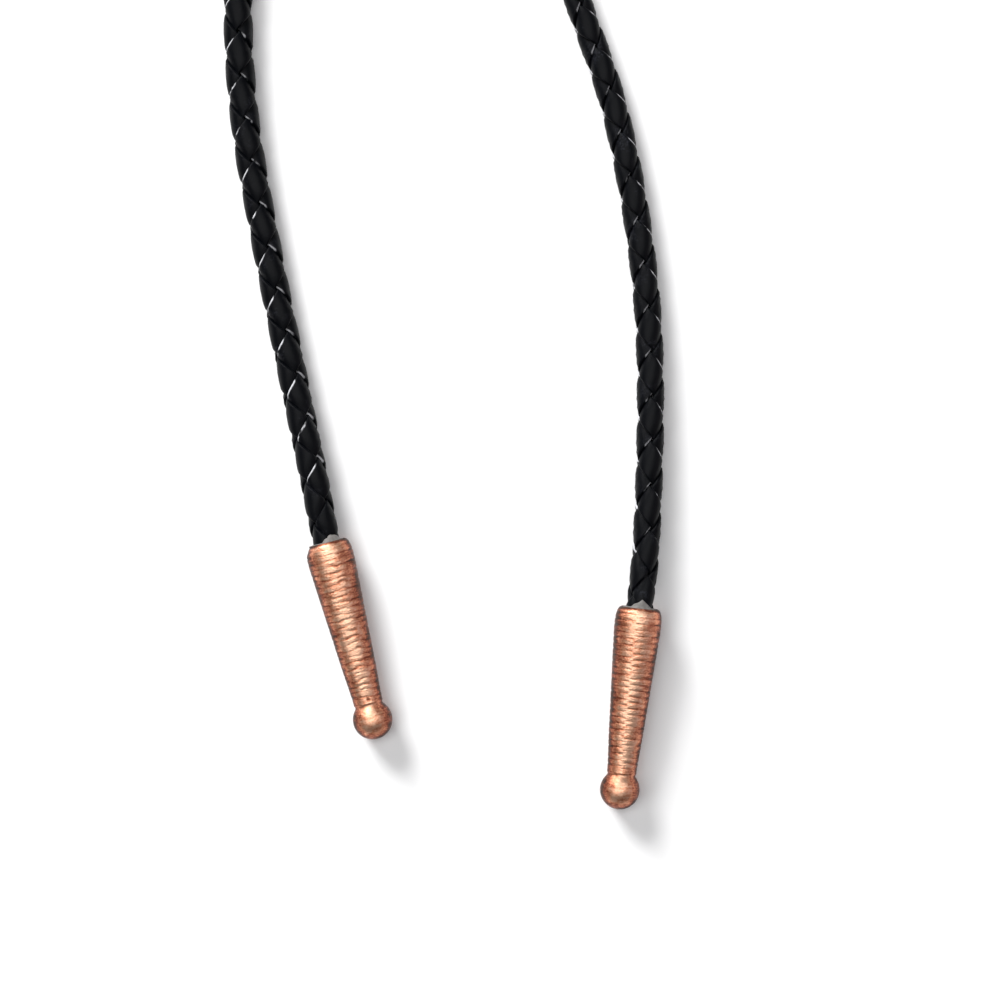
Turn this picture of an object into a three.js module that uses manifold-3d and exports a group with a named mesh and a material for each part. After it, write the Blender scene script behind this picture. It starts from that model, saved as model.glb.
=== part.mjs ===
// Bolo tie: one braided leather cord that makes the neck loop and both tails, a slide that gathers
// it at the throat, and a cast metal tip glued on each free end. It lies on a flat surface with the
// slide face up.
//
// Millimetres, +Z up. The origin is the middle of the slide's flat back, on the surface. +Y points
// from the slide to the neck loop, and the tails run towards -Y.

import * as THREE from 'three';
import { mergeVertices } from 'three/addons/utils/BufferGeometryUtils.js';
import Module from 'manifold-3d';

const wasm = await Module();
wasm.setup();

// ---- Driving dimensions ----

const FIT_GAP = 0.3; // kept between pieces that touch

const CORD_RADIUS = 2.4;
const CORD_SIDES = 10;
const CORD_STEPS = 80;

// The cord's centreline, as x, y, z: out of the left tip, up the left tail, through the slide,
// round the neck, back through the slide and down the right tail into the right tip.
const CORD_ROUTE = [
  [-18.92, -291.5, 4.17],
  [-21.66, -280.87, 4.43],
  [-24.0, -269.3, 3.85],
  [-28.7, -247.0, 2.6],
  [-33.2, -224.6, 2.46],
  [-37.0, -202.3, 2.45],
  [-38.2, -182.0, 2.45],
  [-36.7, -158.0, 2.45],
  [-31.2, -129.0, 2.45],
  [-21.2, -95.0, 2.45],
  [-11.6, -60.0, 2.47],
  [-6.4, -34.0, 2.6],
  [-4.5, -13.5, 3.6],
  [-4.5, 0.0, 3.6],
  [-4.5, 13.5, 3.6],
  [-9.0, 34.0, 2.6],
  [-20.5, 57.0, 2.45],
  [-33.0, 83.0, 2.45],
  [-38.0, 112.0, 2.45],
  [-32.9, 132.0, 2.45],
  [-19.0, 146.3, 2.45],
  [0.0, 151.5, 2.45],
  [19.0, 146.3, 2.45],
  [32.9, 132.0, 2.45],
  [38.0, 112.0, 2.45],
  [33.0, 83.0, 2.45],
  [20.5, 57.0, 2.45],
  [9.0, 34.0, 2.6],
  [4.5, 13.5, 3.6],
  [4.5, 0.0, 3.6],
  [4.5, -13.5, 3.6],
  [5.0, -48.0, 2.6],
  [7.7, -104.0, 2.5],
  [15.2, -152.0, 2.45],
  [24.5, -180.0, 2.45],
  [31.9, -202.3, 2.46],
  [37.6, -238.0, 2.6],
  [37.35, -280.0, 3.85],
  [36.04, -292.92, 4.43],
  [34.86, -303.85, 4.17],
];

// Outline of a tip's body: distance from the mouth along its axis, and radius there.
const TIP_BODY = [
  { along: 0.3, radius: 4.0 },
  { along: 1.2, radius: 4.2 },
  { along: 3.3, radius: 4.35 },
  { along: 6.5, radius: 4.2 },
  { along: 12.0, radius: 3.88 },
  { along: 18.0, radius: 3.52 },
  { along: 24.0, radius: 3.16 },
  { along: 28.5, radius: 2.82 },
  { along: 30.6, radius: 2.72 },
];
const TIP_SEGMENTS = 28;
const TIP_RIM_RADIUS = 3.75;
const TIP_SHOULDER = TIP_BODY[2];
const BALL_RADIUS = 3.65;
const BALL_CENTRE = 34.3;
const BALL_ARC_STEPS = 9;
const NECK_RADIUS = 2.75;

const MOUTH_RADIUS = 3.35;
const MOUTH_DEPTH = 2.6;
const SOCKET_RADIUS = 2.85;
const SOCKET_DEPTH = 12.0;

const GLUE_SINK = 2.0; // how far the glue reaches into the mouth
const GLUE_STAND = 1.4; // how far it stands out of the mouth, up the cord
const GLUE_BEAD = 0.75; // height of its widest ring above the rim

// Each tip's mouth on the surface, and how far its axis is turned from -Y about +Z.
const TIPS = [
  { side: 'left', mouth: { x: -21.66, y: -280.87 }, heading: 14.4 },
  { side: 'right', mouth: { x: 36.04, y: -292.92 }, heading: -6.2 },
];

const PLATE_HALF_WIDTH = 16.0;
const PLATE_HALF_LENGTH = 20.0;
const PLATE_RIM = 2.4;
const PLATE_CROWN = 2.2;
const PLATE_BEVEL = 0.6;
const PLATE_DOME_STEPS = 7;
const PLATE_SEGMENTS = 48;

const GUIDE_WIDTH = 19.0;
const GUIDE_LENGTH = 25.0;
const GUIDE_CORNER = 3.0;
const GUIDE_HEIGHT = 7.0;
const PLATE_SEAT = 6.6; // height of the plate's underside, a little inside the guide
const BORE_OFFSET = 4.5;
const BORE_HEIGHT = 3.6;
const BORE_RADIUS = 2.9;
const BORE_SEGMENTS = 24;

// ---- Finishes ----

const leather = new THREE.MeshStandardMaterial({ color: 0x17181a, roughness: 0.38, metalness: 0.0 });
const copper = new THREE.MeshStandardMaterial({ color: 0xb96f50, roughness: 0.4, metalness: 0.9 });
const adhesive = new THREE.MeshStandardMaterial({ color: 0x8d8b84, roughness: 0.6, metalness: 0.0 });

// ---- Joining and cutting ----

function solidFrom(geometry) {
  const bare = geometry.clone();
  bare.deleteAttribute('normal');
  bare.deleteAttribute('uv');
  const welded = mergeVertices(bare, 1e-4);
  return new wasm.Manifold(new wasm.Mesh({
    numProp: 3,
    vertProperties: welded.attributes.position.array,
    triVerts: new Uint32Array(welded.index.array),
  }));
}

function geometryFrom(solid) {
  const { vertProperties, triVerts } = solid.getMesh();
  const geometry = new THREE.BufferGeometry();
  geometry.setAttribute('position', new THREE.BufferAttribute(vertProperties, 3));
  geometry.setIndex(new THREE.BufferAttribute(triVerts, 1));
  geometry.computeVertexNormals();
  return geometry;
}

function piece(name, geometry, material) {
  const mesh = new THREE.Mesh(geometry, material);
  mesh.name = name;
  return mesh;
}

// ---- Cord ----

function cordMesh() {
  const route = CORD_ROUTE.map(([x, y, z]) => new THREE.Vector3(x, y, z));
  const section = new THREE.Shape();
  for (let side = 0; side < CORD_SIDES; side += 1) {
    const angle = (2 * Math.PI * side) / CORD_SIDES;
    const x = CORD_RADIUS * Math.cos(angle);
    const y = CORD_RADIUS * Math.sin(angle);
    if (side === 0) section.moveTo(x, y);
    else section.lineTo(x, y);
  }
  const geometry = new THREE.ExtrudeGeometry(section, {
    steps: CORD_STEPS,
    extrudePath: new THREE.CatmullRomCurve3(route, false, 'centripetal'),
    curveSegments: 1,
  });
  return piece('bolo_cord', geometry, leather);
}

// ---- Tips, each with the glue at its mouth ----

// A tip's outline, from the ball's pole up its outside to the rim and down into the blind socket.
function tipProfile() {
  const outline = [];
  const neckAngle = Math.PI - Math.asin(NECK_RADIUS / BALL_RADIUS);
  for (let step = 0; step <= BALL_ARC_STEPS; step += 1) {
    const angle = (neckAngle * step) / BALL_ARC_STEPS;
    const radius = BALL_RADIUS * Math.sin(angle);
    outline.push(new THREE.Vector2(radius, -BALL_CENTRE - BALL_RADIUS * Math.cos(angle)));
  }
  for (const { along, radius } of [...TIP_BODY].reverse()) {
    outline.push(new THREE.Vector2(radius, -along));
  }
  outline.push(new THREE.Vector2(TIP_RIM_RADIUS, 0));
  outline.push(new THREE.Vector2(MOUTH_RADIUS, 0));
  outline.push(new THREE.Vector2(MOUTH_RADIUS, -MOUTH_DEPTH));
  outline.push(new THREE.Vector2(SOCKET_RADIUS, -MOUTH_DEPTH - 1));
  outline.push(new THREE.Vector2(SOCKET_RADIUS, -SOCKET_DEPTH));
  outline.push(new THREE.Vector2(0, -SOCKET_DEPTH));
  return outline;
}

// The glue's outline: a thin ring inside the mouth and a small bead on the cord above the rim.
function glueProfile() {
  const inner = CORD_RADIUS + FIT_GAP;
  const outer = MOUTH_RADIUS - FIT_GAP;
  return [
    new THREE.Vector2(inner, -GLUE_SINK),
    new THREE.Vector2(outer, -GLUE_SINK),
    new THREE.Vector2(outer, FIT_GAP),
    new THREE.Vector2(MOUTH_RADIUS, GLUE_BEAD),
    new THREE.Vector2(inner + 0.1, GLUE_STAND),
    new THREE.Vector2(inner, GLUE_STAND),
    new THREE.Vector2(inner, -GLUE_SINK),
  ];
}

// The tip lies on its widest ring and its ball, so its axis dips towards the ball.
function tipGroup({ side, mouth, heading }) {
  const reach = BALL_CENTRE - TIP_SHOULDER.along;
  const dip = Math.asin((TIP_SHOULDER.radius - BALL_RADIUS) / reach);
  const group = new THREE.Group();
  const mouthHeight = TIP_SHOULDER.radius * Math.cos(dip) + TIP_SHOULDER.along * Math.sin(dip);
  group.position.set(mouth.x, mouth.y, mouthHeight);
  group.rotation.set(dip, 0, THREE.MathUtils.degToRad(heading), 'ZXY');
  group.add(piece(`tip_${side}`, new THREE.LatheGeometry(tipProfile(), TIP_SEGMENTS), copper));
  group.add(piece(`glue_${side}`, new THREE.LatheGeometry(glueProfile(), TIP_SEGMENTS), adhesive));
  return group;
}

// ---- Slide ----

// The oval face plate: a flat underside, an upright rim and a low dome.
function plateGeometry() {
  const outline = [
    new THREE.Vector2(0, 0),
    new THREE.Vector2(PLATE_HALF_WIDTH - PLATE_BEVEL, 0),
    new THREE.Vector2(PLATE_HALF_WIDTH, PLATE_BEVEL),
    new THREE.Vector2(PLATE_HALF_WIDTH, PLATE_RIM - PLATE_BEVEL),
  ];
  const domeRadius = PLATE_HALF_WIDTH - PLATE_BEVEL;
  for (let step = PLATE_DOME_STEPS; step >= 0; step -= 1) {
    const share = step / PLATE_DOME_STEPS;
    const rise = PLATE_RIM + PLATE_CROWN * (1 - share * share);
    outline.push(new THREE.Vector2(domeRadius * share, rise));
  }
  const geometry = new THREE.LatheGeometry(outline, PLATE_SEGMENTS);
  geometry.rotateX(Math.PI / 2);
  geometry.scale(1, PLATE_HALF_LENGTH / PLATE_HALF_WIDTH, 1);
  geometry.translate(0, 0, PLATE_SEAT);
  return geometry;
}

// The guide block behind the plate, which stands on the surface.
function guideGeometry() {
  const x = GUIDE_WIDTH / 2 - GUIDE_CORNER;
  const y = GUIDE_LENGTH / 2 - GUIDE_CORNER;
  const quarter = Math.PI / 2;
  const outline = new THREE.Shape();
  outline.absarc(x, y, GUIDE_CORNER, 0, quarter, false);
  outline.absarc(-x, y, GUIDE_CORNER, quarter, 2 * quarter, false);
  outline.absarc(-x, -y, GUIDE_CORNER, 2 * quarter, 3 * quarter, false);
  outline.absarc(x, -y, GUIDE_CORNER, 3 * quarter, 4 * quarter, false);
  outline.closePath();
  return new THREE.ExtrudeGeometry(outline, {
    depth: GUIDE_HEIGHT,
    bevelEnabled: false,
    curveSegments: 6,
  });
}

function slideMesh() {
  let solid = solidFrom(plateGeometry()).add(solidFrom(guideGeometry()));
  for (const x of [-BORE_OFFSET, BORE_OFFSET]) {
    const bore = new THREE.CylinderGeometry(BORE_RADIUS, BORE_RADIUS, 2 * GUIDE_LENGTH, BORE_SEGMENTS);
    bore.translate(x, 0, BORE_HEIGHT);
    solid = solid.subtract(solidFrom(bore));
  }
  return piece('slide', geometryFrom(solid), copper);
}

// ---- The tie ----

const boloTie = new THREE.Group();
boloTie.add(cordMesh());
boloTie.add(slideMesh());
for (const tip of TIPS) boloTie.add(tipGroup(tip));

export default boloTie;
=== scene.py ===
import math

import bpy
import numpy as np
from mathutils import Matrix, Vector, noise


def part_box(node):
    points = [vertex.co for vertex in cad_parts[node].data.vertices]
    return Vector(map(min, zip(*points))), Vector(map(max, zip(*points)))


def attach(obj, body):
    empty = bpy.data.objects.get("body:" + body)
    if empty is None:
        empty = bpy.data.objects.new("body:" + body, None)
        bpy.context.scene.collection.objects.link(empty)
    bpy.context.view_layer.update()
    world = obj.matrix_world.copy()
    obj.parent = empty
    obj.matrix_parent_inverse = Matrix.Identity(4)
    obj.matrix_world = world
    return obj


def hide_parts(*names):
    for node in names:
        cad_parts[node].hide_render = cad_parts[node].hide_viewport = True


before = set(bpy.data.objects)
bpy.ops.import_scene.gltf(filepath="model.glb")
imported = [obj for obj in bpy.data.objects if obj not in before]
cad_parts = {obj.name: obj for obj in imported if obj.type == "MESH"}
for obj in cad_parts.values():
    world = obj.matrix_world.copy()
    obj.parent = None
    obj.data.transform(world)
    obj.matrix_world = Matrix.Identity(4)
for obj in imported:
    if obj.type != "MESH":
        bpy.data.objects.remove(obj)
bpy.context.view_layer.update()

# ---- View, table and light ----
# The tie lies on a plain white table and is seen from straight above through a long lens. A large
# soft lamp stands low on the upper left, a softbox hangs overhead, and a dim pale room fills in.

MM = 0.001
VIEW_WIDTH = 186 * MM
CLEAR_LEFT = 57.25 * MM  # bare table between the view's left edge and the left tip
CLEAR_BELOW = 35.4 * MM  # and between its lower edge and the right tip
LENS = 100.0  # millimetres, as is the sensor's width
SENSOR = 36.0
TABLE_SIZE = 4.0  # metres

view_middle = Vector((
    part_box("tip_left")[0].x - CLEAR_LEFT + VIEW_WIDTH / 2,
    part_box("tip_right")[0].y - CLEAR_BELOW + VIEW_WIDTH / 2,
    0.0,
))

bpy.ops.object.camera_add(location=view_middle + Vector((0, 0, VIEW_WIDTH * LENS / SENSOR)))
camera = bpy.context.object
camera.name = "camera"
camera.data.lens = LENS
camera.data.sensor_width = SENSOR
camera.data.clip_start = 0.01
bpy.context.scene.camera = camera
bpy.context.scene.view_settings.view_transform = "Standard"


def linear(hex_colour):
    """An sRGB hex colour, such as #b87333, as linear red, green, blue and alpha."""
    channels = [int(hex_colour[i:i + 2], 16) / 255 for i in (1, 3, 5)]
    return tuple(c / 12.92 if c <= 0.04045 else ((c + 0.055) / 1.055) ** 2.4 for c in channels) + (1.0,)


def add_node(material, kind, inputs=None, **settings):
    """Adds a node of that kind. inputs maps a socket to a value or to the socket that feeds it."""
    tree = material.node_tree
    node = tree.nodes.new(kind)
    for name, value in settings.items():
        setattr(node, name, value)
    for socket, value in (inputs or {}).items():
        if isinstance(value, bpy.types.NodeSocket):
            tree.links.new(value, node.inputs[socket])
        else:
            node.inputs[socket].default_value = value
    return node


def new_material(name):
    """An empty node material with only its output, and that output's surface socket."""
    material = bpy.data.materials.new(name)
    material.use_nodes = True
    material.node_tree.nodes.clear()
    return material, material.node_tree.nodes.new("ShaderNodeOutputMaterial").inputs["Surface"]


def finish_material(material, output, shader):
    """Links the shader to the material's surface."""
    material.node_tree.links.new(shader.outputs[0], output)


# Matt white laminate: an even white ground with no grain or gloss of its own.
table_laminate, table_output = new_material("table_white_laminate")
table_shader = add_node(table_laminate, "ShaderNodeBsdfDiffuse", {"Color": linear("#f4f4f4")})
finish_material(table_laminate, table_output, table_shader)

bpy.ops.mesh.primitive_plane_add(size=TABLE_SIZE, location=(0, 0, 0))
table = bpy.context.object
table.name = "table"
table.data.materials.append(table_laminate)


def area_light(name, towards, distance, size, watts, colour="#ffffff"):
    """A soft light, wide and high as size says, that shines on the view's middle from that direction."""
    place = view_middle + Vector(towards).normalized() * distance
    bpy.ops.object.light_add(type="AREA", location=place)
    light = bpy.context.object
    light.name = name
    light.rotation_euler = (view_middle - place).to_track_quat("-Z", "Y").to_euler()
    light.data.shape = "RECTANGLE"
    light.data.size, light.data.size_y = size
    light.data.energy = watts
    light.data.color = linear(colour)[:3]
    light.visible_camera = False
    return light


# The key is two lamps in one place. One is polarised, so that it puts no glare on metal or wax.
KEY_DIRECTION = (-0.535, 0.845, 0.48)
key = area_light("key_polarised", KEY_DIRECTION, 2.2, (0.85, 0.85), 42.0)
key.visible_glossy = False
area_light("key_plain", KEY_DIRECTION, 2.2, (1.1, 1.1), 48.0)
area_light("softbox_overhead", (-0.05, 0.12, 1.0), 1.6, (2.6, 0.85), 20.0)
area_light("fill_right", (0.9, -0.05, 0.45), 1.2, (0.6, 0.6), 1.0, "#f2e0ee")

world = bpy.data.worlds.new("pale_room")
bpy.context.scene.world = world
world.use_nodes = True
world.node_tree.nodes["Background"].inputs["Color"].default_value = linear("#f4f6f8")
world.node_tree.nodes["Background"].inputs["Strength"].default_value = 0.1

# ---- Braided cord ----
# One four-strand round braid of black waxed leather lace, 38 in long and 3/16 in across. Two laces
# wind one way and two the other, and each goes over one and under one. Its ends are glued into the
# tips, and it runs through the slide's two guides and round the neck in between.

ROUTE_STEPS = 60

# The centreline in millimetres, from inside the left tip to inside the right tip.
CORD_ROUTE = [
    (-18.92, -291.5, 4.17),
    (-21.66, -280.87, 4.43),
    (-24.0, -269.3, 3.85),
    (-28.7, -247.0, 2.6),
    (-33.2, -224.6, 2.46),
    (-37.0, -202.3, 2.45),
    (-38.2, -182.0, 2.45),
    (-36.7, -158.0, 2.45),
    (-31.2, -129.0, 2.45),
    (-21.2, -95.0, 2.45),
    (-11.6, -60.0, 2.47),
    (-6.4, -34.0, 2.6),
    (-4.5, -13.5, 3.6),
    (-4.5, 0.0, 3.6),
    (-4.5, 13.5, 3.6),
    (-9.0, 34.0, 2.6),
    (-20.5, 57.0, 2.45),
    (-33.0, 83.0, 2.45),
    (-38.0, 112.0, 2.45),
    (-32.9, 132.0, 2.45),
    (-19.0, 146.3, 2.45),
    (0.0, 151.5, 2.45),
    (19.0, 146.3, 2.45),
    (32.9, 132.0, 2.45),
    (38.0, 112.0, 2.45),
    (33.0, 83.0, 2.45),
    (20.5, 57.0, 2.45),
    (9.0, 34.0, 2.6),
    (4.5, 13.5, 3.6),
    (4.5, 0.0, 3.6),
    (4.5, -13.5, 3.6),
    (5.0, -48.0, 2.6),
    (7.7, -104.0, 2.5),
    (15.2, -152.0, 2.45),
    (24.5, -180.0, 2.45),
    (31.9, -202.3, 2.46),
    (37.6, -238.0, 2.6),
    (37.35, -280.0, 3.85),
    (36.04, -292.92, 4.43),
    (34.86, -303.85, 4.17),
]


def smooth_route(points, steps):
    """A centripetal Catmull-Rom curve through the points, with that many steps between two."""
    points = np.array(points, float)
    ends = np.vstack([2 * points[0] - points[1], points, 2 * points[-1] - points[-2]])
    t = np.linspace(0, 1, steps, endpoint=False)[:, None]
    curve = []
    for before, start, stop, after in zip(ends, ends[1:], ends[2:], ends[3:]):
        pairs = ((before, start), (start, stop), (stop, after))
        gap_in, gap, gap_out = (math.sqrt(np.linalg.norm(b - a)) for a, b in pairs)
        slope = (stop - start) / gap
        leave = (start - before) / gap_in - (stop - before) / (gap_in + gap) + slope
        arrive = slope - (after - start) / (gap + gap_out) + (after - stop) / gap_out
        leave, arrive = leave * gap, arrive * gap
        bend = -3 * start + 3 * stop - 2 * leave - arrive
        twist = 2 * start - 2 * stop + leave + arrive
        curve.append(start + leave * t + bend * t ** 2 + twist * t ** 3)
    return np.vstack(curve + [points[-1:]])


route = smooth_route(CORD_ROUTE, ROUTE_STEPS) * MM
route_steps = np.linalg.norm(np.diff(route, axis=0), axis=1)
route_at = np.concatenate([[0.0], np.cumsum(route_steps)])
route_length = route_at[-1]

route_along = np.gradient(route, route_at, axis=0)
route_along /= np.linalg.norm(route_along, axis=1)[:, None]
route_up = np.array([0.0, 0.0, 1.0]) - route_along * route_along[:, 2:]
route_up /= np.linalg.norm(route_up, axis=1)[:, None]
route_side = np.cross(route_along, route_up)


def sample(table_of_vectors, distance):
    """The route's table of vectors, read at distances along the cord."""
    return np.stack([np.interp(distance, route_at, column) for column in table_of_vectors.T], axis=-1)


# The braid's repeat tightens and loosens a little, and the whole braid rolls about its own axis.
# Rows: distance along the cord in metres, and the roll there in degrees.
BRAID_ROLL = [
    (0.000, 50.0),
    (0.030, 44.0),
    (0.055, 13.0),
    (0.110, 2.0),
    (0.200, 8.0),
    (0.480, 45.0),
    (0.760, 77.0),
    (0.850, 84.0),
    (0.930, 82.0),
    (0.955, 56.0),
    (0.965, 48.0),
]
PITCH_LEFT = 16.0 * MM
PITCH_RIGHT = 16.45 * MM
BRAID_START = 0.51  # radians that the repeat has turned at the left end

LACE_MIDDLE = 1.50 * MM  # a lace's mean distance from the cord's centre
LACE_WEAVE = 0.43 * MM  # how far it rises over and dives under
LACE_FLATNESS = 1.6  # how flat it lies before it dives
LACE_HALF_ANGLE = math.radians(83)
LACE_THICKNESS = 1.10 * MM
LACE_STEP = 0.69 * MM
# A pale painted glint along one edge of each lace: where it starts from either end, how it fades in, and
# how strong it is.
GLINT_STARTS = 14.0 * MM  # from either end
GLINT_FADE = 12.0 * MM
EDGE_WITHOUT_GLINT = 0.8  # the mark on an edge with no painted glint
LONG_GLINT = 0.26  # and what the painted glint adds to it, on the edge's whole length
SHORT_GLINT = 0.175  # or only where it comes up from under its neighbour
# The braid is fuller on the left tail. Rows: distance along the cord in metres, and its fullness.
BRAID_FULLNESS = [
    (0.000, 1.02),
    (0.020, 1.10),
    (0.160, 1.12),
    (0.260, 1.03),
    (0.760, 1.03),
    (0.830, 1.04),
    (0.965, 1.06),
]

# A lace's section: place across it from -1 to 1, and height as a share of half its thickness.
LACE_SECTION = [
    (-1.0, 0.25),
    (-0.985, 0.62),
    (-0.93, 0.86),
    (-0.86, 0.92),
    (-0.55, 0.97),
    (0.0, 1.0),
    (0.55, 0.97),
    (0.86, 0.92),
    (0.93, 0.86),
    (0.985, 0.62),
    (1.0, 0.25),
    (0.97, -0.7),
    (0.0, -1.0),
    (-0.97, -0.7),
]


def braid_turn(distance):
    """How far the braid's repeat has turned, in radians, at that distance along the cord."""
    change = (1 / PITCH_RIGHT - 1 / PITCH_LEFT) * distance / (2 * route_length)
    return BRAID_START + 2 * math.pi * (1 / PITCH_LEFT + change) * distance


def lace_mesh(hand, start_angle, first_vertex):
    """Vertices, faces and edge marks of one lace. hand is 1 or -1, the way it winds."""
    count = int(route_length / LACE_STEP)
    middle = np.linspace(0, route_length, count)[:, None]
    across = np.array([c for c, _ in LACE_SECTION])[None, :]
    height = np.array([h for _, h in LACE_SECTION])[None, :]
    swing = across * LACE_HALF_ANGLE / 2
    # A lace leans across the cord, so its two edges are at different distances along the cord.
    turn = braid_turn(middle)
    rate = 2 * math.pi / PITCH_LEFT
    along = np.clip(middle - hand * swing / rate, 0, route_length)
    angle = hand * turn + start_angle + swing
    other = braid_turn(along) + hand * angle
    own_side = math.cos(start_angle)
    wave = np.tanh(LACE_FLATNESS * np.cos(other)) / math.tanh(LACE_FLATNESS)
    radius = LACE_MIDDLE + hand * own_side * LACE_WEAVE * wave + height * LACE_THICKNESS / 2
    roll = np.radians(np.interp(along, *zip(*BRAID_ROLL)))
    centre, up, side = (sample(v, along) for v in (route, route_up, route_side))
    radius *= np.interp(along, *zip(*BRAID_FULLNESS))
    spin = (angle + roll)[..., None]
    places = centre + radius[..., None] * (np.cos(spin) * up + np.sin(spin) * side)
    places[..., 2] = np.maximum(places[..., 2], 0.0)  # it flattens where it lies on the table
    ring = len(LACE_SECTION)
    faces = []
    for row in range(count - 1):
        low = first_vertex + row * ring
        for k in range(ring):
            n = (k + 1) % ring
            faces.append((low + k, low + n, low + ring + n, low + ring + k))
    last = first_vertex + (count - 1) * ring
    faces.append(tuple(first_vertex + k for k in reversed(range(ring))))
    faces.append(tuple(last + k for k in range(ring)))
    # One edge of each lace carries a pale painted glint: where it winds one way on this tail, from its
    # middle to where it dives, and where it winds the other way, only where it comes up from under its
    # neighbour. The painted glint fades out close to the tips.
    tail = np.sign(route_length / 2 - middle)
    rising = hand * own_side * tail * np.sin(other)
    long_edge = hand * tail > 0
    painted_glint = np.clip(np.where(long_edge, 1.9 - 2.2 * rising, 3 * rising - 0.9), 0, 1)
    painted_glint *= np.clip((np.minimum(along, route_length - along) - GLINT_STARTS) / GLINT_FADE, 0, 1)
    glint_strength = np.where(long_edge, LONG_GLINT, SHORT_GLINT) * painted_glint
    sideways = (-across * (EDGE_WITHOUT_GLINT + glint_strength)).ravel()
    return places.reshape(-1, 3), faces, sideways


vertices, faces, sides = [], [], []
for hand in (1, -1):
    for start_angle in (0.0, math.pi):
        v, f, sideways = lace_mesh(hand, start_angle, sum(len(x) for x in vertices))
        vertices.append(v)
        faces += f
        sides.append(sideways)
cord_mesh = bpy.data.meshes.new("leather_braid")
cord_mesh.from_pydata(np.vstack(vertices).tolist(), [], faces)
cord_mesh.shade_smooth()
cord = bpy.data.objects.new("leather_braid", cord_mesh)
bpy.context.collection.objects.link(cord)

lace_across = cord_mesh.attributes.new("lace_across", "FLOAT", "POINT")
lace_across.data.foreach_set("value", np.concatenate(sides))

# Chrome-tanned cowhide lace, dyed black through, waxed and pressed smooth by braiding: a low sheen
# on each lace's crown, fine grain and a few dry scuffs. One edge of each lace is painted pale as a
# glint where it stands proud, and made smoother there.
waxed_leather, leather_output = new_material("black_waxed_cowhide_lace")
leather_place = add_node(waxed_leather, "ShaderNodeTexCoord").outputs["Object"]
leather_across = add_node(waxed_leather, "ShaderNodeAttribute", attribute_name="lace_across")
leather_edge = add_node(waxed_leather, "ShaderNodeMapRange", {
    "Value": leather_across.outputs["Fac"],
    "From Min": 0.88,
    "From Max": 0.96,
})

# Each grain: its size in millimetres, its detail, and the part of it stretched from 0 to 1.
leather_grains = {}
for name, size_mm, detail, low, high in (
    ("patches", 3.2, 2.0, 0.56, 0.72),
    ("scratches", 0.35, 4.0, 0.45, 0.75),
    # breaks the painted edge glint into short dashes
    ("glint_breakup", 1.6, 2.0, 0.36, 0.5),
    ("pores", 0.22, 3.0, 0.2, 0.8),  # drawn coarser than real pores, so that they show
):
    field = add_node(waxed_leather, "ShaderNodeTexNoise", {
        "Vector": leather_place,
        "Scale": 1000 / size_mm,
        "Detail": detail,
    })
    leather_grains[name] = add_node(waxed_leather, "ShaderNodeMapRange", {
        "Value": field.outputs["Fac"],
        "From Min": low,
        "From Max": high,
    }).outputs["Result"]

leather_scuffs = add_node(waxed_leather, "ShaderNodeMath", {
    0: leather_grains["patches"],
    1: leather_grains["scratches"],
}, operation="MULTIPLY").outputs[0]
# The painted glint's mask: the marked lace edge, broken into short dashes by noise.
leather_painted_glint = add_node(waxed_leather, "ShaderNodeMath", {
    0: leather_edge.outputs["Result"],
    1: leather_grains["glint_breakup"],
}, operation="MULTIPLY").outputs[0]
leather_colour = add_node(waxed_leather, "ShaderNodeMix", {
    "Factor": leather_scuffs,
    "A": linear("#050609"),
    "B": linear("#24252b"),
}, data_type="RGBA")
# The pale grey mixed in here is a painted glint on the lace's edge.
leather_with_glint = add_node(waxed_leather, "ShaderNodeMix", {
    "Factor": leather_painted_glint,
    "A": leather_colour.outputs["Result"],
    "B": linear("#b8b8bc"),
}, data_type="RGBA")
leather_roughness = add_node(waxed_leather, "ShaderNodeMapRange", {
    "Value": leather_painted_glint,
    "To Min": 0.42,
    "To Max": 0.28,
})
leather_grain = add_node(waxed_leather, "ShaderNodeBump", {
    "Height": leather_grains["pores"],
    "Strength": 0.35,
    "Distance": 0.03 * MM,
})
leather_shader = add_node(waxed_leather, "ShaderNodeBsdfPrincipled", {
    "Base Color": leather_with_glint.outputs["Result"],
    "Roughness": leather_roughness.outputs["Result"],
    "Specular IOR Level": 0.09,
    "Normal": leather_grain.outputs["Normal"],
})
finish_material(waxed_leather, leather_output, leather_shader)
cord_mesh.materials.append(waxed_leather)

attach(cord, "root")
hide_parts("bolo_cord")

# ---- Tips ----
# Each tail ends in a tip cast in zinc alloy, plated in copper and antiqued: the brown patina is left
# in its rings. The paler crowns, on top and underneath as it lies, are a painted highlight, and the
# brown down its sides is painted shade. A tapered, ringed body ends in a plain ball, and a blind
# socket in its mouth takes the cord. It lies on its widest ring and its ball.

TIP_BODY = [  # millimetres from the mouth, and the radius over the rings there
    (0.0, 3.4),
    (0.15, 3.68),
    (0.5, 3.93),
    (1.1, 4.14),
    (2.0, 4.28),
    (3.3, 4.33),
    (6.5, 4.18),
    (12.0, 3.86),
    (18.0, 3.5),
    (24.0, 3.14),
    (28.0, 2.84),
    (30.1, 2.72),
    (33.0, 2.72),
]
BALL_RADIUS = 3.65
BALL_CENTRE = 33.8
BALL_BLEND = 8  # how tightly the neck turns into the ball
BALL_END = BALL_CENTRE + BALL_RADIUS
MOUTH_RADIUS = 3.3
MOUTH_DEPTH = 2.6
SOCKET_RADIUS = 2.85
SOCKET_DEPTH = 12.0
TIP_SEGMENTS = 128
BALL_ROWS = 24  # rows of faces from the ball's pole to its widest
NECK_FADE = 3.2  # over which the body's form gives way to the ball's

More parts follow.
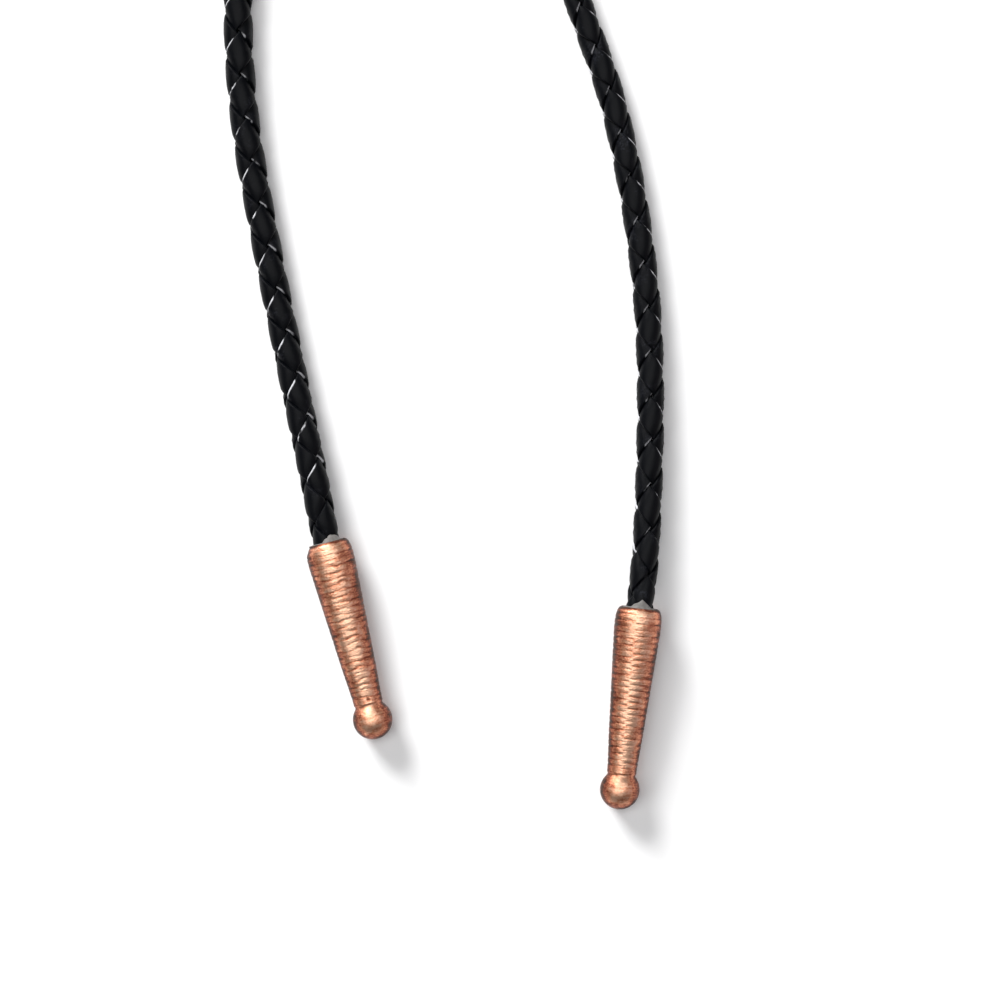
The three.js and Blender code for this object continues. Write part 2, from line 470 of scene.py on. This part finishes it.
RING_SPACING = 1.12
RING_ROWS = 8  # rows of faces to each ring
RING_HEIGHT = 0.1
RING_SHARPNESS = 4  # how narrow the groove between two rings is
RINGS_START = 0.9
RINGS_END = 30.0
RINGS_FADE_IN = 0.7
RINGS_FADE_OUT = 0.8
SEAM_WIDTH = 0.3  # the plain line down the mould seam
RIM_WALL = 0.06  # the least wall left at the mouth

TIP_CURVE_STEPS = 12
tip_curve = smooth_route([(along, radius, 0.0) for along, radius in TIP_BODY], TIP_CURVE_STEPS)


def tip_radius(along):
    """The tip's radius at that distance from its mouth, over the rings, in millimetres."""
    body = float(np.interp(along, tip_curve[:, 0], tip_curve[:, 1]))
    reach = abs(along - BALL_CENTRE)
    if reach >= BALL_RADIUS:
        return body if along < BALL_CENTRE else 0.0
    ball = math.sqrt(BALL_RADIUS ** 2 - reach ** 2)
    fade = min(1.0, max(0.0, (BALL_CENTRE - along) / NECK_FADE))
    return (ball ** BALL_BLEND + (body * fade) ** BALL_BLEND) ** (1 / BALL_BLEND)


def tip_outline():
    """Radius and place along Y, in millimetres, from the ball's pole round the rim to the socket."""
    outline = [(0.0, -BALL_END)]
    for step in range(1, BALL_ROWS + 1):
        along = BALL_CENTRE + BALL_RADIUS * math.cos(math.pi * step / (2 * BALL_ROWS))
        outline.append((tip_radius(along), -along))
    along = BALL_CENTRE - 0.2
    while along > RINGS_START:
        outline.append((tip_radius(along), -along))
        along -= RING_SPACING / RING_ROWS
    for along in (0.72, 0.55, 0.4, 0.25, 0.12, 0.04, 0.0):
        outline.append((tip_radius(along), -along))
    outline += [
        (MOUTH_RADIUS + 0.08, 0.03),
        (MOUTH_RADIUS, -0.08),
        (MOUTH_RADIUS, -MOUTH_DEPTH),
        (SOCKET_RADIUS, -MOUTH_DEPTH - 0.8),
        (SOCKET_RADIUS, -SOCKET_DEPTH),
        (0.0, -SOCKET_DEPTH),
    ]
    return outline


def turned(name, outline, segments, closed=False):
    """A piece turned about the Y axis from an outline of radii and places along Y, in millimetres."""
    if closed:
        outline = outline + outline[:1]
    bpy.ops.object.select_all(action="DESELECT")
    bpy.ops.mesh.primitive_plane_add(size=MM, location=(0, 0, 0))
    piece = bpy.context.object
    piece.name = piece.data.name = name
    bpy.ops.object.mode_set(mode="EDIT")
    bpy.ops.mesh.merge(type="CENTER")
    bpy.ops.transform.translate(value=(outline[0][0] * MM, outline[0][1] * MM, 0))
    for start, stop in zip(outline, outline[1:]):
        step = ((stop[0] - start[0]) * MM, (stop[1] - start[1]) * MM, 0)
        bpy.ops.mesh.extrude_region_move(TRANSFORM_OT_translate={"value": step})
    bpy.ops.mesh.select_all(action="SELECT")
    bpy.ops.mesh.spin(steps=segments, angle=2 * math.pi, center=(0, 0, 0), axis=(0, 1, 0))
    bpy.ops.mesh.select_all(action="SELECT")
    bpy.ops.mesh.remove_doubles(threshold=0.002 * MM)
    bpy.ops.mesh.normals_make_consistent(inside=False)
    bpy.ops.object.mode_set(mode="OBJECT")
    piece.data.shade_smooth()
    return piece


def uneven(place, size, seed):
    """Smooth noise from -1 to 1 with bumps of that size, at a place in millimetres."""
    return noise.noise(Vector(place) / size + Vector((seed, 2.7 * seed, -seed)))


def carve_rings(piece, seam_angle, seam_shift, wander, dents, seed):
    """Sinks the grooves between the rings and the dents, marks where the patina stays, and marks the
    sides for painted shade.
    """
    depths, side_shades_and_patina, places = [], [], []
    for vertex in piece.data.vertices:
        x, along, z = vertex.co.x / MM, -vertex.co.y / MM, vertex.co.z / MM
        places += [x, along, z]
        radius = math.hypot(x, z)
        depth = sink = 0.0
        turn = math.atan2(z, x)
        round_it = (2.2 * math.cos(turn), along * 1.4, 2.2 * math.sin(turn))
        outside = radius > max(0.05, tip_radius(along) - 0.02) and along > 0.01
        if outside and RINGS_START - 0.5 < along < RINGS_END:
            from_seam = math.sin(turn - seam_angle) * radius
            ring = along / RING_SPACING + (seam_shift if from_seam < 0 else 0.0)
            ring += wander * (uneven(round_it, 2.4, seed) + 0.6 * uneven(round_it, 0.9, seed))
            depth = abs(2 * (ring % 1.0) - 1) ** RING_SHARPNESS
            fade_in = (along - RINGS_START + 0.5) / RINGS_FADE_IN
            ends = min(1.0, fade_in, (RINGS_END - along) / RINGS_FADE_OUT)
            if seam_shift:
                ends *= min(1.0, abs(from_seam) / SEAM_WIDTH + 0.15)
            depth *= ends * min(1.2, max(0.1, 0.75 + 1.1 * uneven(round_it, 1.2, seed + 5)))
            sink = RING_HEIGHT * depth
        elif along > RINGS_END:
            depth = 0.9 * max(0.0, uneven((x, along, z), 0.9, seed + 9))
        elif radius > MOUTH_RADIUS - 0.05:
            depth = 1.5 if along < 0.25 else 0.5
        if outside:
            for dent_along, dent_angle, dent_length, dent_width, dent_depth, dirt in dents:
                sideways = turn - math.radians(dent_angle)
                sideways = (sideways + math.pi) % (2 * math.pi) - math.pi
                slant = along - dent_along + 0.35 * min(1.0, dirt) * uneven(round_it, 0.8, seed)
                away = math.hypot(slant / dent_length, sideways * radius / dent_width)
                if away < 1:
                    sink += dent_depth * (1 - away * away) ** 2
                    depth += dirt * (1 - away)
            if along < MOUTH_DEPTH:
                sink = min(sink, radius - MOUTH_RADIUS - RIM_WALL)
            vertex.co.x *= 1 - sink / radius
            vertex.co.z *= 1 - sink / radius
        depths.append(min(1.5, depth))
        # Painted shade down the tip's sides and round the ball, and painted highlight on the crowns:
        # this mark is 0 on top and underneath and grows to 1 at the sides.
        reach = BALL_RADIUS if along > BALL_CENTRE - 1 else max(radius, 0.1)
        side_shades_and_patina.append(max(0.0, 1 - abs(z) / reach))
    marks = piece.data.attributes
    marks.new("groove", "FLOAT", "POINT").data.foreach_set("value", depths)
    marks.new("side_shade_and_patina", "FLOAT", "POINT").data.foreach_set("value", side_shades_and_patina)
    marks.new("own_place", "FLOAT_VECTOR", "POINT").data.foreach_set("vector", places)


def lay_tip(piece, inside, mouth):
    """Moves a piece turned about Y so that Y runs out of the mouth along the cord's end."""
    out = (Vector(mouth) - Vector(inside)).normalized()
    side = out.cross(Vector((0, 0, 1))).normalized()
    turn = Matrix((side, out, side.cross(out))).transposed().to_4x4()
    piece.data.transform(Matrix.Translation(Vector(mouth) * MM) @ turn)


# Antique copper plate: brown and duller patina in the grooves and in fine streaks that run round the
# tip, as a wire wheel leaves them. The paler warm crowns are a painted highlight, and the brown down
# the sides is painted shade.
antique_copper, copper_output = new_material("antiqued_copper_plate_on_cast_zinc")
copper_groove = add_node(antique_copper, "ShaderNodeAttribute", attribute_name="groove").outputs["Fac"]
copper_place = add_node(
    antique_copper, "ShaderNodeAttribute", attribute_name="own_place",
).outputs["Vector"]
# The side mark paints shade down the tips' sides; on the slide it is patina.
copper_side_shade_and_patina = add_node(antique_copper, "ShaderNodeMapRange", {
    "Value": add_node(antique_copper, "ShaderNodeAttribute", attribute_name="side_shade_and_patina").outputs["Fac"],
    "From Min": 0.0,
    "From Max": 0.62,
}).outputs["Result"]

# Each mark: its size in millimetres, how many times longer it runs round the tip, its detail, and the
# part of it stretched from -1 to 1.
copper_marks = {}
for name, size_mm, stretch, detail, low, high in (
    ("streaks", 0.34, 6.0, 4.0, 0.32, 0.68),
    ("specks", 0.28, 1.4, 3.0, 0.3, 0.7),
    ("blotches", 2.6, 1.0, 3.0, 0.3, 0.7),
    ("casting_skin", 0.25, 1.5, 3.0, 0.3, 0.7),
):
    laid = add_node(antique_copper, "ShaderNodeMapping", {
        "Vector": copper_place,
        "Scale": (1 / size_mm / stretch, 1 / size_mm, 1 / size_mm / stretch),
    })
    field = add_node(antique_copper, "ShaderNodeTexNoise", {
        "Vector": laid.outputs["Vector"],
        "Scale": 1.0,
        "Detail": detail,
    })
    copper_marks[name] = add_node(antique_copper, "ShaderNodeMapRange", {
        "Value": field.outputs["Fac"],
        "From Min": low,
        "From Max": high,
        "To Min": -1.0,
        "To Max": 1.0,
    }).outputs["Result"]

# How much patina and painted side shade there is, is the sum of what each of these leaves.
patina_and_shade = 0.0
for mark, share in (
    (copper_groove, 0.36),
    (copper_side_shade_and_patina, 0.78),
    (copper_marks["streaks"], 0.13),
    (copper_marks["specks"], 0.13),
    (copper_marks["blotches"], 0.18),
):
    patina_and_shade = add_node(antique_copper, "ShaderNodeMath", {0: mark, 1: share, 2: patina_and_shade},
                     operation="MULTIPLY_ADD").outputs[0]
# The palest stop is the crowns' painted highlight; the browner stops are patina and painted shade.
copper_colours = add_node(antique_copper, "ShaderNodeValToRGB", {"Fac": patina_and_shade})
copper_ramp = copper_colours.color_ramp.elements
copper_ramp[0].color = linear("#f7c3a3")
copper_ramp[1].color = linear("#40261b")
copper_ramp.new(0.28).color = linear("#dc9270")
copper_ramp.new(0.55).color = linear("#96523c")
copper_ramp.new(0.8).color = linear("#54301f")
copper_shine = add_node(antique_copper, "ShaderNodeMapRange", {
    "Value": patina_and_shade,
    "To Min": 0.4,
    "To Max": 0.54,
})
copper_skin = add_node(antique_copper, "ShaderNodeMath", {
    0: copper_marks["streaks"],
    1: 1.2,
    2: copper_marks["casting_skin"],
}, operation="MULTIPLY_ADD")
copper_relief = add_node(antique_copper, "ShaderNodeBump", {
    "Height": copper_skin.outputs[0],
    "Strength": 0.45,
    "Distance": 0.025 * MM,
})
copper_shader = add_node(antique_copper, "ShaderNodeBsdfPrincipled", {
    "Base Color": copper_colours.outputs["Color"],
    "Metallic": 1.0,
    "Roughness": copper_shine.outputs["Result"],
    "Coat Weight": 0.12,
    "Coat Roughness": 0.3,
    "Normal": copper_relief.outputs["Normal"],
})
finish_material(antique_copper, copper_output, copper_shader)

# The left tip's rings wander, its shoulder is worn round on one side, and it has a crack below its
# mouth and a pit at its neck. The right tip shows its mould seam, where the rings of its two halves
# meet half a step apart. Dents: place along, angle round, half length, half width, depth and dirt.
TIPS = (
    ("tip_left", CORD_ROUTE[0], CORD_ROUTE[1], math.radians(200), 0.0, 0.42, 3.0, [
        (0.0, 180, 2.0, 5.6, 0.46, 0.0),
        (4.4, 42, 0.34, 2.4, 0.16, 1.0),
        (29.9, 82, 0.38, 0.6, 0.16, 1.0),
        (28.4, 25, 0.5, 1.0, 0.1, 0.7),
    ]),
    ("tip_right", CORD_ROUTE[-1], CORD_ROUTE[-2], math.radians(98), 0.5, 0.12, 11.0, [
        (3.4, 165, 0.5, 1.8, 0.06, 0.8),
        (4.4, 28, 0.8, 0.8, 0.1, 0.6),
        (12.6, 50, 0.4, 1.8, 0.05, 0.6),
    ]),
)
for node, inside, mouth, seam_angle, seam_shift, wander, seed, dents in TIPS:
    tip = turned("antique_" + node, tip_outline(), TIP_SEGMENTS)
    carve_rings(tip, seam_angle, seam_shift, wander, dents, seed)
    lay_tip(tip, inside, mouth)
    tip.data.materials.append(antique_copper)
    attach(tip, "root")
    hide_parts(node)

# ---- Glue ----
# Contact cement holds the cord in each tip. It was pushed up as the cord went in, and has dried as a
# thin grey collar with one wedge that fills the notch between two laces.

GLUE_SECTION = [  # radius in millimetres, and height as a share of the collar's own
    (2.1, -2.0),
    (3.26, -2.0),
    (3.26, -0.1),
    (3.12, 0.12),
    (2.93, 0.35),
    (2.78, 0.62),
    (2.66, 0.85),
    (2.5, 1.0),
    (2.1, 1.0),
]
GLUE_SEGMENTS = 96
GLUE_LIP = 0.18  # the collar's height all round, in millimetres

# Dried rubber cement: dull, greyish and faintly mottled, with a soft skin.
dried_glue, glue_output = new_material("dried_rubber_contact_cement")
glue_mottle = add_node(dried_glue, "ShaderNodeTexNoise", {
    "Vector": add_node(dried_glue, "ShaderNodeTexCoord").outputs["Object"],
    "Scale": 1000 / 0.7,
    "Detail": 3.0,
})
glue_colours = add_node(dried_glue, "ShaderNodeMix", {
    "Factor": glue_mottle.outputs["Fac"],
    "A": linear("#3c3f39"),
    "B": linear("#7c7675"),
}, data_type="RGBA")
glue_skin = add_node(dried_glue, "ShaderNodeBump", {
    "Height": glue_mottle.outputs["Fac"],
    "Strength": 0.5,
    "Distance": 0.06 * MM,
})
glue_shader = add_node(dried_glue, "ShaderNodeBsdfPrincipled", {
    "Base Color": glue_colours.outputs["Result"],
    "Roughness": 0.6,
    "Normal": glue_skin.outputs["Normal"],
})
finish_material(dried_glue, glue_output, glue_shader)

# Each wedge: the angle round the mouth where it stands, half its spread, its height and how blunt.
GLUE_WEDGES = ((58, 46, 1.0, 2.6), (86, 46, 1.45, 1.25))
for tip_row, wedge in zip(TIPS, GLUE_WEDGES):
    node, inside, mouth, *_, seed, _ = tip_row
    wedge_angle, wedge_spread, wedge_height, bluntness = wedge
    collar = turned("dried_" + node.replace("tip", "glue"), GLUE_SECTION, GLUE_SEGMENTS, closed=True)
    for vertex in collar.data.vertices:
        share = vertex.co.y / MM
        if share > 0:
            turn = math.degrees(math.atan2(vertex.co.z, vertex.co.x))
            beside = abs((turn - wedge_angle + 180) % 360 - 180) / wedge_spread
            height = GLUE_LIP + wedge_height * max(0.0, 1 - beside ** bluntness)
            height *= 1 + 0.25 * uneven((vertex.co.x / MM, 0, vertex.co.z / MM), 0.8, seed)
            vertex.co.y = share * height * MM
    lay_tip(collar, inside, mouth)
    collar.data.materials.append(dried_glue)
    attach(collar, "root")
    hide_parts(node.replace("tip", "glue"))

# ---- Slide ----
# The slide is one zinc casting in the tips' finish: a plain domed oval face on a guide block, whose
# two bores grip the tails side by side. Pushed up or down by hand, it opens or closes the neck loop.

PLATE_WIDTH = 32.0
PLATE_HEIGHT = 40.0
PLATE_UNDER = 6.6
PLATE_RIM = 2.4
PLATE_CROWN = 2.2
PLATE_BEVEL = 0.6
PLATE_RINGS = 12  # rows of faces from the rim to the crown
BLOCK_SIZE = (19.0, 25.0, 7.0)
BLOCK_CORNER = 3.0
BORE_OFFSET = 4.5
BORE_HEIGHT = 3.6
BORE_RADIUS = 2.9
DRILL_LENGTH = 40.0
TUMBLED_EDGE = 0.25

bpy.ops.object.select_all(action="DESELECT")
bpy.ops.mesh.primitive_cylinder_add(
    vertices=128, radius=1.0, depth=PLATE_RIM * MM,
    location=(0, 0, (PLATE_UNDER + PLATE_RIM / 2) * MM),
)
plate = bpy.context.object
plate.scale = (PLATE_WIDTH / 2 * MM, PLATE_HEIGHT / 2 * MM, 1.0)
bpy.ops.object.transform_apply(location=True, rotation=True, scale=True)
plate_bevel = plate.modifiers.new("worn_rim", "BEVEL")
plate_bevel.width = PLATE_BEVEL * MM
plate_bevel.segments = 4
bpy.ops.object.modifier_apply(modifier=plate_bevel.name)

# The face is inset ring by ring, and each ring is lifted to the dome.
bpy.ops.object.mode_set(mode="EDIT")
bpy.ops.mesh.select_mode(type="FACE")
bpy.ops.mesh.select_all(action="DESELECT")
bpy.ops.object.mode_set(mode="OBJECT")
face_top = max(face.center.z for face in plate.data.polygons)
for face in plate.data.polygons:
    face.select = face.center.z > face_top - 0.01 * MM and len(face.vertices) > 4
bpy.ops.object.mode_set(mode="EDIT")
ring_share = 1.0
for ring in range(1, PLATE_RINGS):
    next_share = 1.0 - ring / PLATE_RINGS
    bpy.ops.mesh.extrude_region_move()
    bpy.ops.transform.resize(value=(next_share / ring_share, next_share / ring_share, 1.0))
    ring_share = next_share
bpy.ops.mesh.poke()
bpy.ops.object.mode_set(mode="OBJECT")
for vertex in plate.data.vertices:
    if vertex.co.z > face_top - 0.01 * MM:
        out = math.hypot(vertex.co.x / (PLATE_WIDTH / 2 * MM), vertex.co.y / (PLATE_HEIGHT / 2 * MM))
        inner = (1 - PLATE_BEVEL / (PLATE_WIDTH / 2)) ** 2
        vertex.co.z += PLATE_CROWN * MM * max(0.0, 1 - out * out / inner)

bpy.ops.object.select_all(action="DESELECT")
bpy.ops.mesh.primitive_cube_add(size=MM, location=(0, 0, BLOCK_SIZE[2] / 2 * MM))
slide = bpy.context.object
slide.name = slide.data.name = "antique_slide"
slide.scale = BLOCK_SIZE
bpy.ops.object.transform_apply(location=True, rotation=True, scale=True)
bpy.ops.object.mode_set(mode="EDIT")
bpy.ops.mesh.select_mode(type="EDGE")
bpy.ops.mesh.select_all(action="DESELECT")
bpy.ops.object.mode_set(mode="OBJECT")
for edge in slide.data.edges:
    low, high = (slide.data.vertices[v].co for v in edge.vertices)
    edge.select = abs(low.z - high.z) > MM
bpy.ops.object.mode_set(mode="EDIT")
bpy.ops.mesh.bevel(offset=BLOCK_CORNER * MM, segments=10, affect="EDGES")
bpy.ops.object.mode_set(mode="OBJECT")

# The two bores are cut right through, then the block and the plate are made one.
for side in (-1, 1):
    bpy.ops.object.select_all(action="DESELECT")
    bpy.ops.mesh.primitive_cylinder_add(
        vertices=64, radius=BORE_RADIUS * MM, depth=DRILL_LENGTH * MM,
        location=(side * BORE_OFFSET * MM, 0, BORE_HEIGHT * MM), rotation=(math.pi / 2, 0, 0),
    )
    drill = bpy.context.object
    bpy.context.view_layer.objects.active = slide
    bore = slide.modifiers.new("bore", "BOOLEAN")
    bore.operation = "DIFFERENCE"
    bore.solver = "EXACT"
    bore.object = drill
    bpy.ops.object.modifier_apply(modifier=bore.name)
    bpy.data.objects.remove(drill)
bpy.context.view_layer.objects.active = slide
join = slide.modifiers.new("join", "BOOLEAN")
join.operation = "UNION"
join.solver = "EXACT"
join.object = plate
bpy.ops.object.modifier_apply(modifier=join.name)
bpy.data.objects.remove(plate)
soften = slide.modifiers.new("tumbled_edges", "BEVEL")
soften.width = TUMBLED_EDGE * MM
soften.segments = 2
soften.limit_method = "ANGLE"
soften.angle_limit = math.radians(40)
bpy.ops.object.modifier_apply(modifier=soften.name)
bpy.ops.object.select_all(action="DESELECT")
slide.select_set(True)
bpy.ops.object.shade_smooth_by_angle(angle=math.radians(30))

# The patina stays round the rim, on the block and in the bores, and is rubbed thin on the face.
FACE_GROOVE = 0.3
BLOCK_GROOVE = 0.5
FACE_FLANK = 0.25
RIM_FLANK = 0.3  # added at the face's rim
BLOCK_FLANK = 0.3
depths, side_shades_and_patina, places = [], [], []
for vertex in slide.data.vertices:
    x, y, z = (value / MM for value in vertex.co)
    out = math.hypot(x / (PLATE_WIDTH / 2), y / (PLATE_HEIGHT / 2))
    face = z > PLATE_UNDER + PLATE_RIM - PLATE_BEVEL
    depths.append(FACE_GROOVE if face else BLOCK_GROOVE)
    side_shades_and_patina.append(FACE_FLANK + RIM_FLANK * out ** 4 if face else BLOCK_FLANK)
    places += [x, y, z]
marks = slide.data.attributes
marks.new("groove", "FLOAT", "POINT").data.foreach_set("value", depths)
marks.new("side_shade_and_patina", "FLOAT", "POINT").data.foreach_set("value", side_shades_and_patina)
marks.new("own_place", "FLOAT_VECTOR", "POINT").data.foreach_set("vector", places)
slide.data.materials.append(antique_copper)
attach(slide, "root")
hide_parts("slide")
